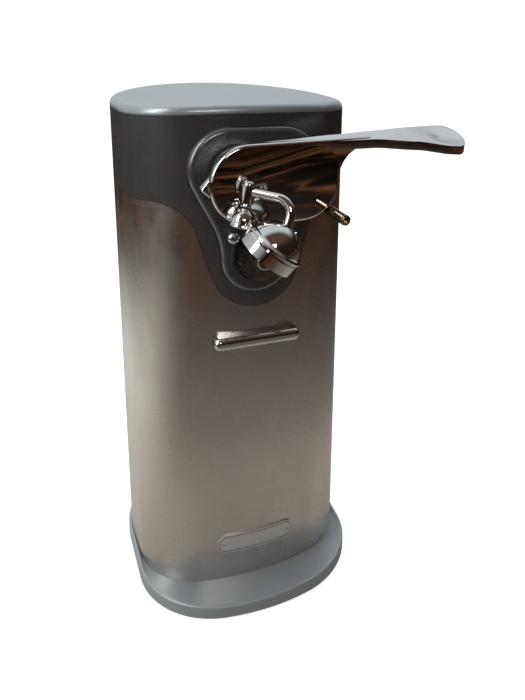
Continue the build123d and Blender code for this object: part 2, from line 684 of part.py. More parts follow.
with BuildPart() as drive_nut:
    with BuildSketch(axis_plane(wheel_z, wheel_front_y)):
        RegularPolygon(4.6, 6)
    extrude(amount=2.6)
    with BuildSketch(axis_plane(wheel_z, wheel_front_y - 2.6)):
        Circle(3.6)
    extrude(amount=1.2)
    fillet(drive_nut.edges().group_by(Axis.Y)[0], 1.0)
    cylinder_y(0, wheel_z, 2.5, wheel_front_y + 1, wheel_front_y - 2.0, mode=Mode.SUBTRACT)
finish(drive_nut, "drive_nut")

with BuildPart() as drive_shaft:
    cylinder_y(0, wheel_z, shaft_radius, wheel_front_y, chassis_y[1] + 1.6)
    cylinder_y(0, wheel_z, 2.5, wheel_front_y - 2.0, wheel_front_y)
    cylinder_y(0, wheel_z, 5.2, wheel_back_y, wheel_back_y + 0.8)
finish(drive_shaft, "drive_shaft")

with BuildPart() as drive_bushing:
    cylinder_y(0, wheel_z, 6.0, panel_back_y + 1.5, panel_y - 0.6)
    cylinder_y(0, wheel_z, 7.6, panel_y + 1.0, panel_y - 0.6)
    cylinder_y(0, wheel_z, shaft_radius + running_fit, -30, -60, mode=Mode.SUBTRACT)
finish(drive_bushing, "drive_bushing")

pin_radius = 2.0
rotor_shaft_radius = 2.5

with BuildPart() as output_gear:
    with BuildSketch(axis_plane(wheel_z, plane_c)):
        draw_gear(output_teeth, tip_up=False)
        with PolarLocations(13.5, 6):
            Circle(4.0, mode=Mode.SUBTRACT)
    extrude(amount=gear_width)
    with BuildSketch(axis_plane(wheel_z, plane_c + 2)):
        Circle(7.0)
    extrude(amount=gear_width + 3)
    cylinder_y(0, wheel_z, shaft_radius, 0, -60, mode=Mode.SUBTRACT)
finish(output_gear, "output_gear")

for label, z, back in (("idler_gear_1", idler_1_z, plane_a), ("idler_gear_2", idler_2_z, plane_b)):
    with BuildPart() as idler:
        with BuildSketch(axis_plane(z, back)):
            draw_gear(idler_teeth, tip_up=False)
            with PolarLocations(13.0, 5):
                Circle(4.0, mode=Mode.SUBTRACT)
        extrude(amount=gear_width)
        with BuildSketch(axis_plane(z, back - gear_width)):
            draw_gear(pinion_teeth, tip_up=True)
        extrude(amount=gear_width + 3.0)
        cylinder_y(0, z, pin_radius + running_fit, 0, -60, mode=Mode.SUBTRACT)
    finish(idler, label)

with BuildPart() as idler_pins:
    for z in (idler_1_z, idler_2_z):
        cylinder_y(0, z, pin_radius, front_plate_y[0] - 0.4, chassis_y[1] + 0.6)
finish(idler_pins, "idler_pins")

plate_low_z = motor_z - 22.0
plate_posts = [(-21, plate_low_z + 6), (21, plate_low_z + 6), (-21, plate_top_z - 6),
               (21, plate_top_z - 6)]

with BuildPart() as gear_plate:
    box_between((-plate_half_width, front_plate_y[0], plate_low_z),
                (plate_half_width, front_plate_y[1], plate_top_z))
    fillet(gear_plate.edges().filter_by(Axis.Y), 5)
    cylinder_y(0, wheel_z, shaft_radius + running_fit, 0, -60, mode=Mode.SUBTRACT)
    cylinder_y(lever_x, lever_z, 4.0 + running_fit, 0, -60, mode=Mode.SUBTRACT)
    cylinder_y(0, motor_z, 6.0, 0, -60, mode=Mode.SUBTRACT)
    for z in (idler_1_z, idler_2_z):
        cylinder_y(0, z, pin_radius, 0, -60, mode=Mode.SUBTRACT)
    for x, z in plate_posts:
        cylinder_y(x, z, 1.7, 0, -60, mode=Mode.SUBTRACT)
finish(gear_plate, "gear_plate")

with BuildPart() as gear_posts:
    for x, z in plate_posts:
        cylinder_y(x, z, 3.5, front_plate_y[1], chassis_y[0])
        cylinder_y(x, z, 1.7, front_plate_y[0], front_plate_y[1] + 1)
        cylinder_y(x, z, 1.7, chassis_y[0] - 1, chassis_y[1])
        cylinder_y(x, z, 3.0, front_plate_y[0] - 1.2, front_plate_y[0])
        cylinder_y(x, z, 3.0, chassis_y[1], chassis_y[1] + 1.2)
finish(gear_posts, "gear_posts")

mount_x, mount_z = 19.0, (motor_z - 15.0, motor_z + 15.0)
with BuildPart() as chassis:
    box_between((-plate_half_width, chassis_y[0], floor_z),
                (plate_half_width, chassis_y[1], plate_top_z))
    fillet(chassis.edges().filter_by(Axis.Y).group_by(Axis.Z)[-1], 5)
    box_between((-plate_half_width, chassis_y[1], floor_z), (plate_half_width, 14, floor_z + 1.6))
    cylinder_y(0, wheel_z, shaft_radius + running_fit, 20, -60, mode=Mode.SUBTRACT)
    cylinder_y(lever_x, lever_z, 4.0 + running_fit, 20, -60, mode=Mode.SUBTRACT)
    cylinder_y(0, motor_z, 8.5, 20, -60, mode=Mode.SUBTRACT)
    for z in (idler_1_z, idler_2_z):
        cylinder_y(0, z, pin_radius, 20, -60, mode=Mode.SUBTRACT)
    for x, z in plate_posts:
        cylinder_y(x, z, 1.7, 20, -60, mode=Mode.SUBTRACT)
    for x in (-mount_x, mount_x):
        cylinder_y(x, mount_z[1], 1.6, 20, -60, mode=Mode.SUBTRACT)
finish(chassis, "chassis")

# ================================ Motor =========================================================
stack_y = (4.0, 24.0)
rotor_radius, bore_radius = 12.6, 13.1
window_low, window_high = motor_z - 37.0, motor_z - 19.0
stack_low = window_low - 10.0

with BuildPart() as motor_stator:
    box_between((-26, stack_y[0], stack_low), (26, stack_y[1], motor_z + 21))
    fillet(motor_stator.edges().filter_by(Axis.Y), 4)
    box_between((-15, 0, window_low), (15, 30, window_high), mode=Mode.SUBTRACT)
    cylinder_y(0, motor_z, bore_radius, 30, 0, mode=Mode.SUBTRACT)
    for x in (-mount_x, mount_x):
        cylinder_y(x, mount_z[1], 1.8, 30, 0, mode=Mode.SUBTRACT)
        cylinder_y(x, mount_z[0], 1.8, 30, 0, mode=Mode.SUBTRACT)
finish(motor_stator, "motor_stator")

with BuildPart() as motor_coil:
    box_between((-14, stack_y[0] - 6, stack_low - 6), (14, stack_y[1] + 6, window_low + 9))
    fillet(motor_coil.edges().filter_by(Axis.X), 3)
    box_between((-20, stack_y[0], stack_low), (20, stack_y[1], window_low), mode=Mode.SUBTRACT)
finish(motor_coil, "motor_coil")

with BuildPart() as motor_rotor:
    cylinder_y(0, motor_z, rotor_radius, stack_y[0] - 1, stack_y[1] + 1)
    cylinder_y(0, motor_z, 11.4, stack_y[0] - 2.5, stack_y[1] + 2.5)
    cylinder_y(0, motor_z, rotor_shaft_radius, plane_a - gear_width - 1.5, stack_y[1] + 18)
finish(motor_rotor, "motor_rotor")

with BuildPart() as motor_pinion:
    with BuildSketch(axis_plane(motor_z, plane_a + 1)):
        draw_gear(pinion_teeth, tip_up=True)
        Circle(rotor_shaft_radius, mode=Mode.SUBTRACT)
    extrude(amount=gear_width + 2.0)
finish(motor_pinion, "motor_pinion")

with BuildPart() as motor_fan:
    fan_y = stack_y[1] + 17.0
    with BuildSketch(axis_plane(motor_z, fan_y)):
        Circle(6.0)
    extrude(amount=7.0)
    with BuildSketch(axis_plane(motor_z, fan_y - 1.0)):
        Circle(20.0)
        with PolarLocations(13.5, 5):
            SlotOverall(11, 6, rotation=20, mode=Mode.SUBTRACT)
    extrude(amount=1.2)
    with BuildSketch(axis_plane(motor_z, fan_y)):
        with PolarLocations(12.5, 10):
            Rectangle(13.5, 1.2, rotation=20)
    extrude(amount=5.0)
    cylinder_y(0, motor_z, rotor_shaft_radius, 20, 60, mode=Mode.SUBTRACT)
finish(motor_fan, "motor_fan")

bridge_y = (stack_y[0] - 8.0, stack_y[1] + 6.0)
for label, y, side in (("motor_front_bridge", bridge_y[0], 1), ("motor_rear_bridge", bridge_y[1], -1)):
    with BuildPart() as bridge:
        box_between((-25, y, motor_z - 7), (25, y + 2.0, motor_z + 7))
        fillet(bridge.edges().filter_by(Axis.Y), 4)
        box_between((-25, y, motor_z + 5), (-13, y + 2.0, motor_z + 20))
        box_between((13, y, motor_z + 5), (25, y + 2.0, motor_z + 20))
        face_y = stack_y[0] if side > 0 else stack_y[1]
        for x in (-mount_x, mount_x):
            cylinder_y(x, mount_z[1], 4.0, face_y, y + 1.0)
            cylinder_y(x, mount_z[1], 1.8, 60, -60, mode=Mode.SUBTRACT)
        cylinder_y(0, motor_z, 5.0, 60, -60, mode=Mode.SUBTRACT)
    finish(bridge, label)

with BuildPart() as motor_bearings:
    for y in bridge_y:
        cylinder_y(0, motor_z, 5.0, y - 0.6, y + 3.0)
    cylinder_y(0, motor_z, rotor_shaft_radius + 0.03, -60, 60, mode=Mode.SUBTRACT)
finish(motor_bearings, "motor_bearings")

with BuildPart() as motor_screws:
    for x in (-mount_x, mount_x):
        cylinder_y(x, mount_z[1], 1.5, chassis_y[0] - 0.2, bridge_y[1] + 2.0)
        cylinder_y(x, mount_z[1], 3.0, bridge_y[1] + 2.0, bridge_y[1] + 4.2)
        cylinder_y(x, mount_z[1], 3.2, chassis_y[0] - 1.6, chassis_y[0])
finish(motor_screws, "motor_screws")

with BuildPart() as motor_spacers:
    for x in (-mount_x, mount_x):
        cylinder_y(x, mount_z[1], 3.4, chassis_y[1], bridge_y[0])
        cylinder_y(x, mount_z[1], 1.6, -60, 60, mode=Mode.SUBTRACT)
finish(motor_spacers, "motor_spacers")

# ================================ Switch ========================================================
button_x, button_travel = lever_x + 17.0, 2.0
button_top_z = lever_z - 0.9
switch_top_z = button_top_z - button_travel - 1.0

with BuildPart() as switch_body:
    box_between((button_x - 5, -21.5, switch_top_z - 11), (button_x + 14.6, chassis_y[0], switch_top_z))
    with Locations((button_x, (cam_y[0] + cam_y[1]) / 2, switch_top_z)):
        Cylinder(1.6, 9.0, mode=Mode.SUBTRACT)
    for x in (button_x - 2, button_x + 4, button_x + 10):
        box_between((x, -19.2, switch_top_z - 15), (x + 2.4, -18.4, switch_top_z - 11))
finish(switch_body, "switch_body")

with BuildPart() as switch_button:
    with Locations((button_x, (cam_y[0] + cam_y[1]) / 2, switch_top_z - 4.4)):
        Cylinder(1.5, button_top_z - switch_top_z + 4.4,
                 align=(Align.CENTER, Align.CENTER, Align.MIN))
    fillet(switch_button.edges().group_by(Axis.Z)[-1], 0.5)
finish(switch_button, "switch_button")
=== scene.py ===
import json
import logging
import math
from dataclasses import dataclass
from enum import Enum
from typing import Any, Optional, Sequence, Union

import bpy
from mathutils import Matrix, Vector


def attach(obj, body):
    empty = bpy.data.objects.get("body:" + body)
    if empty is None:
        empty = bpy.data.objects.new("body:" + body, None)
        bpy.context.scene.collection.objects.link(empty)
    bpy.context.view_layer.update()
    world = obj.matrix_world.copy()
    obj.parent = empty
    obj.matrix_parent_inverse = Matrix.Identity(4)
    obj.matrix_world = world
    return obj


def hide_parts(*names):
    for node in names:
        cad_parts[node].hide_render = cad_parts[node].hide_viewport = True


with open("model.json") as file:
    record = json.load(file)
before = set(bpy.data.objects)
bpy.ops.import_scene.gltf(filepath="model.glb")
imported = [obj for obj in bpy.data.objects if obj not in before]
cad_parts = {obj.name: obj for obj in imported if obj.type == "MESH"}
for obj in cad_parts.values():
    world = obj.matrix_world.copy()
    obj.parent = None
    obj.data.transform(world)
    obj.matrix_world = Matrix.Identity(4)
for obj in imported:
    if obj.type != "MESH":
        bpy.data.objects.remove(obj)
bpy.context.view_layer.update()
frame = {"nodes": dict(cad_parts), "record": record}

log = logging.getLogger("can_opener")
MM = 0.001
Number = Union[int, float]
Point = tuple[float, float, float]
Pair = tuple[float, float]
Colour = tuple[float, float, float]


# ---- Shader expressions -----------------------------------------------------------------------

class Shade:
    """A socket of a material's node tree that takes part in Python expressions."""

    def __init__(self, tree: bpy.types.NodeTree, socket: bpy.types.NodeSocket) -> None:
        """Wrap a socket.

        Args:
            tree: The node tree that new Math nodes are added to.
            socket: The output socket whose value this stands for.
        """
        self.tree = tree
        self.socket = socket

    def math(self, operation: str, *values: "Shade | Number", clamp: bool = False) -> "Shade":
        """Add one Math node.

        Args:
            operation: The Math node's operation.
            values: Its inputs in order, sockets or numbers.
            clamp: Whether the result is held between 0 and 1.

        Returns:
            The node's result.
        """
        node = self.tree.nodes.new("ShaderNodeMath")
        node.operation = operation
        node.use_clamp = clamp
        for slot, value in zip(node.inputs, values):
            if isinstance(value, Shade):
                self.tree.links.new(value.socket, slot)
            else:
                slot.default_value = value
        return Shade(self.tree, node.outputs[0])

    def __add__(self, other: "Shade | Number") -> "Shade":
        """Return the sum."""
        return self.math("ADD", self, other)

    __radd__ = __add__

    def __sub__(self, other: "Shade | Number") -> "Shade":
        """Return the difference."""
        return self.math("SUBTRACT", self, other)

    def __rsub__(self, other: Number) -> "Shade":
        """Return a number minus this."""
        return self.math("SUBTRACT", other, self)

    def __mul__(self, other: "Shade | Number") -> "Shade":
        """Return the product."""
        return self.math("MULTIPLY", self, other)

    __rmul__ = __mul__

    def __truediv__(self, other: "Shade | Number") -> "Shade":
        """Return the quotient."""
        return self.math("DIVIDE", self, other)

    def __pow__(self, other: Number) -> "Shade":
        """Return this raised to a power."""
        return self.math("POWER", self, other)

    def __abs__(self) -> "Shade":
        """Return the size without its sign."""
        return self.math("ABSOLUTE", self)

    def above(self, start: Number, end: Number) -> "Shade":
        """Return a smooth step that is 0 at start and 1 at end."""
        node = self.tree.nodes.new("ShaderNodeMapRange")
        node.interpolation_type = "SMOOTHSTEP"
        low, high = sorted((start, end))
        self.tree.links.new(self.socket, node.inputs["Value"])
        node.inputs["From Min"].default_value = low
        node.inputs["From Max"].default_value = high
        node.inputs["To Min"].default_value = 0.0 if start < end else 1.0
        node.inputs["To Max"].default_value = 1.0 if start < end else 0.0
        return Shade(self.tree, node.outputs["Result"])


class Outputs:
    """The outputs of one node, looked up by name or number."""

    def __init__(self, tree: bpy.types.NodeTree, node: bpy.types.Node) -> None:
        """Keep the tree and the node."""
        self.tree = tree
        self.node = node

    def __getitem__(self, key: Any) -> Shade:
        """Return one output."""
        return Shade(self.tree, self.node.outputs[key])


class Recipe:
    """The nodes of one material, from object coordinates to the surface."""

    def __init__(self, name: str) -> None:
        """Start a material with an empty Principled surface.

        Args:
            name: The material's name.
        """
        self.material = bpy.data.materials.new(name)
        self.material.use_nodes = True
        self.tree = self.material.node_tree
        self.surface = next(n for n in self.tree.nodes if n.type == "BSDF_PRINCIPLED")
        self.place = self.node("ShaderNodeTexCoord")["Object"]

    def node(self, kind: str, settings: Optional[dict[str, Any]] = None,
             sockets: Optional[dict[Any, Any]] = None) -> Outputs:
        """Add any node.

        Args:
            kind: The node's type.
            settings: Properties that are set before its sockets.
            sockets: Values or links by socket name or number.

        Returns:
            A lookup from an output's name or number to its socket.
        """
        made = self.tree.nodes.new(kind)
        for key, value in (settings or {}).items():
            if key == "stops":
                self._set_stops(made.color_ramp, value)
            else:
                setattr(made, key, value)
        for key, value in (sockets or {}).items():
            if isinstance(value, Shade):
                self.tree.links.new(value.socket, made.inputs[key])
            else:
                made.inputs[key].default_value = value
        return Outputs(self.tree, made)

    @staticmethod
    def _set_stops(ramp: bpy.types.ColorRamp, stops: Sequence[tuple[float, Colour]]) -> None:
        """Set a ramp's stops from pairs of place and colour."""
        while len(ramp.elements) > 1:
            ramp.elements.remove(ramp.elements[-1])
        for number, (place, colour) in enumerate(stops):
            stop = ramp.elements[0] if number == 0 else ramp.elements.new(place)
            stop.position = place
            stop.color = (*colour, 1.0)

    def axis(self, letter: str) -> Shade:
        """Return one object coordinate, in metres."""
        return self.node("ShaderNodeSeparateXYZ", sockets={0: self.place})[letter]

    def noise(self, stretch: Point, scale: float, detail: float = 3.0, rough: float = 0.5,
              shift: Point = (0.0, 0.0, 0.0)) -> Shade:
        """Return noise on object coordinates.

        Args:
            stretch: How much each axis is multiplied by first.
            scale: The noise's own scale, per metre.
            detail: Octaves.
            rough: How strong the finer octaves are.
            shift: What is added to the coordinates.

        Returns:
            A value around 0.5.
        """
        moved = self.node("ShaderNodeMapping", sockets={
            "Vector": self.place, "Scale": stretch, "Location": shift})["Vector"]
        return self.node("ShaderNodeTexNoise", sockets={
            "Vector": moved, "Scale": scale, "Detail": detail, "Roughness": rough})["Fac"]

    def blend(self, amount: Shade, first: "Shade | Colour", second: "Shade | Colour") -> Shade:
        """Mix two colours by an amount."""
        def full(value: "Shade | Colour") -> Any:
            """Return a link as it is, and a colour with its alpha."""
            return value if isinstance(value, Shade) else (*value, 1.0)
        return self.node("ShaderNodeMix", {"data_type": "RGBA"},
                         {0: amount, 6: full(first), 7: full(second)})[2]

    def ramp(self, value: Shade, stops: Sequence[tuple[float, Colour]]) -> Shade:
        """Turn a value into a colour by a ramp."""
        return self.node("ShaderNodeValToRGB", {"stops": stops}, {0: value})["Color"]

    def bump(self, height: Shade, depth: float, under: Optional[Shade] = None) -> Shade:
        """Return a normal that follows a height.

        Args:
            height: The height, in units of the depth.
            depth: What a height of 1 stands for, in metres.
            under: A normal that it is laid over.

        Returns:
            The bumped normal.
        """
        sockets: dict[Any, Any] = {"Height": height, "Distance": depth, "Strength": 1.0}
        if under is not None:
            sockets["Normal"] = under
        return self.node("ShaderNodeBump", sockets=sockets)["Normal"]

    def finish(self, **sockets: Any) -> bpy.types.Material:
        """Set the surface's sockets, named with underscores for spaces, and return the material."""
        for key, value in sockets.items():
            slot = self.surface.inputs[key.replace("_", " ")]
            if isinstance(value, Shade):
                self.tree.links.new(value.socket, slot)
            elif slot.type == "RGBA":
                slot.default_value = (*value, 1.0)
            else:
                slot.default_value = value
        return self.material


# ---- Finishes ---------------------------------------------------------------------------------

@dataclass(frozen=True)
class BrushedSheet:
    """Stainless sheet with fine brushing that runs around the tower."""

    name: str = "brushed_sheet"
    light: Colour = (0.70, 0.665, 0.62)
    dark: Colour = (0.56, 0.525, 0.485)
    roughness: float = 0.25

    def make(self) -> bpy.types.Material:
        """Build the material."""
        r = Recipe(self.name)
        fine = r.noise((14.0, 14.0, 900.0), 6.0, 4.0, 0.62)
        hair = r.noise((40.0, 40.0, 3800.0), 4.0, 2.0, 0.5, (3.0, 1.0, 2.0))
        cloud = r.noise((1.0, 1.0, 0.6), 22.0, 4.0, 0.6)
        smear = r.noise((1.0, 1.0, 0.35), 60.0, 3.0, 0.55, (7.0, 2.0, 5.0))
        streak = 0.55 * fine + 0.45 * hair
        tone = (0.55 * streak + 0.45 * cloud).above(0.30, 0.70)
        colour = r.blend(tone, self.dark, self.light)
        rough = self.roughness + 0.16 * (fine - 0.5) + 0.12 * smear.above(0.45, 0.75)
        normal = r.bump(streak, 0.000009)
        return r.finish(Base_Color=colour, Metallic=1.0, Roughness=rough, Normal=normal)


@dataclass(frozen=True)
class Chrome:
    """Polished chrome plate with faint polishing marks and finger haze."""

    name: str = "chrome"
    colour: Colour = (0.78, 0.775, 0.765)
    haze: Colour = (0.66, 0.655, 0.65)
    roughness: float = 0.045

    def make(self) -> bpy.types.Material:
        """Build the material."""
        r = Recipe(self.name)
        smudge = r.noise((1.0, 1.0, 1.0), 90.0, 4.0, 0.6)
        swirl = r.noise((1.0, 1.0, 1.0), 900.0, 2.0, 0.5)
        mask = smudge.above(0.48, 0.72)
        rough = self.roughness + 0.10 * mask * swirl
        ripple = r.noise((1.0, 1.0, 1.0), 38.0, 1.0, 0.4)
        return r.finish(
            Base_Color=r.blend(0.5 * mask, self.colour, self.haze), Metallic=1.0,
            Roughness=rough, Normal=r.bump(ripple, 0.00012))


@dataclass(frozen=True)
class TurnedMetal:
    """Turned or ground metal with fine rings, in any tint."""

    name: str
    light: Colour
    dark: Colour
    roughness: float = 0.25

    def make(self) -> bpy.types.Material:
        """Build the material."""
        r = Recipe(self.name)
        grain = r.noise((1.0, 9.0, 1.0), 520.0, 3.0, 0.6)
        patch = r.noise((1.0, 1.0, 1.0), 130.0, 4.0, 0.6)
        colour = r.blend((0.5 * grain + 0.5 * patch).above(0.38, 0.64), self.dark, self.light)
        return r.finish(Base_Color=colour, Metallic=1.0,
                        Roughness=self.roughness + 0.25 * (grain - 0.5) + 0.15 * patch.above(0.5, 0.8),
                        Normal=r.bump(grain, 0.00002))


@dataclass(frozen=True)
class BadgeSatin:
    """A blank satin badge with a dark line pressed in near its edge and a rivet at each end."""

    name: str = "badge_satin"
    light: Colour = (0.80, 0.80, 0.79)
    dark: Colour = (0.66, 0.66, 0.65)
    line: Colour = (0.16, 0.15, 0.145)
    height: float = 0.0246
    half_length: float = 0.0187
    radius: float = 0.00465
    inset: float = 0.0009
    rivet_at: float = 0.0158
    rivet: float = 0.0006

    def make(self) -> bpy.types.Material:
        """Build the material."""
        r = Recipe(self.name)
        grain = r.noise((1.0, 1.0, 40.0), 160.0, 3.0, 0.6)
        side, rise = abs(r.axis("X")), r.axis("Z") - self.height
        over = side - (self.half_length - self.radius)
        past = over.math("MAXIMUM", over, 0.0)
        edge = self.radius - (past * past + rise * rise) ** 0.5
        groove = abs(edge - self.inset).above(0.00028, 0.00012)
        beyond = side - self.rivet_at
        dot = (beyond * beyond + rise * rise) ** 0.5
        ring = abs(dot - self.rivet).above(0.00022, 0.00008)
        mark = groove.math("MAXIMUM", groove, ring)
        satin = r.blend(grain.above(0.35, 0.65), self.dark, self.light)
        colour = r.blend(0.85 * mark, satin, self.line)
        return r.finish(Base_Color=colour, Metallic=0.75, Roughness=0.34 + 0.2 * (grain - 0.5),
                        Normal=r.bump(1.0 - mark, 0.00008))


@dataclass(frozen=True)
class SilverPlastic:
    """Moulded plastic under a metallic silver paint: flake sparkle and a soft clear coat."""

    name: str
    light: Colour
    dark: Colour
    roughness: float = 0.38
    metallic: float = 0.55
    coat: float = 0.25
    flake: float = 0.12

    def make(self) -> bpy.types.Material:
        """Build the material."""
        r = Recipe(self.name)
        flakes = r.noise((1.0, 1.0, 1.0), 5200.0, 2.0, 0.7)
        mottle = r.noise((1.0, 1.0, 1.0), 60.0, 4.0, 0.55)
        peel = r.noise((1.0, 1.0, 1.0), 850.0, 2.0, 0.5)
        tone = (0.5 + self.flake * 4.0 * (flakes - 0.5) + 0.7 * (mottle - 0.5)).above(0.1, 0.9)
        return r.finish(
            Base_Color=r.blend(tone, self.dark, self.light), Metallic=self.metallic,
            Roughness=self.roughness + 0.2 * (flakes - 0.5) + 0.12 * (mottle - 0.5),
            Coat_Weight=self.coat, Coat_Roughness=0.18, Normal=r.bump(peel, 0.00003))


@dataclass(frozen=True)
class DullMoulding:
    """Rubber, nylon, phenolic or varnish: a fine grained matt surface."""

    name: str
    light: Colour
    dark: Colour
    roughness: float = 0.6
    grain: float = 1400.0

    def make(self) -> bpy.types.Material:
        """Build the material."""
        r = Recipe(self.name)
        grain = r.noise((1.0, 1.0, 1.0), self.grain, 3.0, 0.6)
        mottle = r.noise((1.0, 1.0, 1.0), 75.0, 3.0, 0.5)
        return r.finish(
            Base_Color=r.blend((0.5 * grain + 0.5 * mottle).above(0.35, 0.65), self.dark, self.light),
            Roughness=self.roughness + 0.2 * (grain - 0.5), Normal=r.bump(grain, 0.00006))


@dataclass(frozen=True)
class Laminations:
    """A stack of varnished steel sheets or a wound coil: fine layers along Y."""

    name: str
    light: Colour
    dark: Colour
    pitch: float = 0.0006
    roughness: float = 0.45

    def make(self) -> bpy.types.Material:
        """Build the material."""
        r = Recipe(self.name)
        layer = r.axis("Y").math("PINGPONG", r.axis("Y"), self.pitch / 2) / (self.pitch / 2)
        mottle = r.noise((1.0, 1.0, 1.0), 180.0, 3.0, 0.6)
        groove = layer.above(0.0, 0.45)
        return r.finish(
            Base_Color=r.blend(0.6 * groove + 0.4 * mottle, self.dark, self.light), Metallic=0.5,
            Roughness=self.roughness + 0.2 * mottle, Normal=r.bump(groove, 0.00008))


class Finish(Enum):
    """The finishes of the opener, by the record's material slot."""

    brushed_wrap = BrushedSheet()
    chrome = Chrome()
    cap_plastic = SilverPlastic(
        "cap_silver", (0.45, 0.495, 0.515), (0.40, 0.445, 0.465), 0.34, 0.45, 0.3)
    shroud_plastic = SilverPlastic(
        "shroud_silver", (0.215, 0.225, 0.23), (0.17, 0.18, 0.185), 0.27, 0.75, 0.35)
    foot_plastic = SilverPlastic(
        "foot_silver", (0.41, 0.455, 0.48), (0.365, 0.405, 0.43), 0.42, 0.4, 0.2)
    badge_metal = BadgeSatin()
    rubber_pad = DullMoulding("pad_rubber", (0.06, 0.06, 0.062), (0.035, 0.035, 0.037), 0.75)
    gland_rubber = DullMoulding("gland_rubber", (0.05, 0.05, 0.052), (0.03, 0.03, 0.031), 0.7)
    plain_steel = TurnedMetal("plain_steel", (0.58, 0.57, 0.55), (0.42, 0.41, 0.4), 0.26)
    plate_steel = TurnedMetal("plate_steel", (0.56, 0.57, 0.56), (0.44, 0.45, 0.45), 0.36)
    zinc_screws = TurnedMetal("zinc_steel", (0.62, 0.62, 0.58), (0.46, 0.46, 0.44), 0.3)
    bronze = TurnedMetal("bronze", (0.62, 0.43, 0.23), (0.42, 0.28, 0.15), 0.38)
    guide_brass = TurnedMetal("guide_brass", (0.55, 0.47, 0.35), (0.34, 0.28, 0.2), 0.16)
    gear_nylon = DullMoulding("gear_nylon", (0.8, 0.78, 0.72), (0.7, 0.68, 0.62), 0.5)
    core_steel = Laminations("core_laminations", (0.2, 0.19, 0.185), (0.08, 0.075, 0.075))
    copper_coil = Laminations("copper_winding", (0.56, 0.24, 0.11), (0.2, 0.07, 0.035), 0.0005, 0.35)
    bridge_alloy = TurnedMetal("bridge_alloy", (0.6, 0.6, 0.6), (0.48, 0.48, 0.48), 0.42)
    switch_plastic = DullMoulding("switch_phenolic", (0.1, 0.1, 0.1), (0.06, 0.06, 0.06), 0.45)
    button_plastic = DullMoulding("button_red", (0.6, 0.09, 0.07), (0.42, 0.05, 0.04), 0.35)
    fan_plastic = DullMoulding("fan_black", (0.12, 0.12, 0.13), (0.07, 0.07, 0.075), 0.4)
    hard_steel = TurnedMetal("hard_steel", (0.5, 0.49, 0.47), (0.28, 0.27, 0.26), 0.2)
    magnet = DullMoulding("ferrite", (0.16, 0.16, 0.165), (0.09, 0.09, 0.095), 0.4)


class Paint:
    """Builds each finish once and puts it on pieces."""

    def __init__(self) -> None:
        """Start with nothing built."""
        self.built: dict[Finish, bpy.types.Material] = {}

    def dress(self, piece: bpy.types.Object, finish: Finish) -> bpy.types.Object:
        """Give a piece one finish.

        Args:
            piece: The mesh object.
            finish: The finish it gets.

        Returns:
            The same object.
        """
        if finish not in self.built:
            self.built[finish] = finish.value.make()
        piece.data.materials.clear()
        piece.data.materials.append(self.built[finish])
        return piece


# ---- Mesh work --------------------------------------------------------------------------------

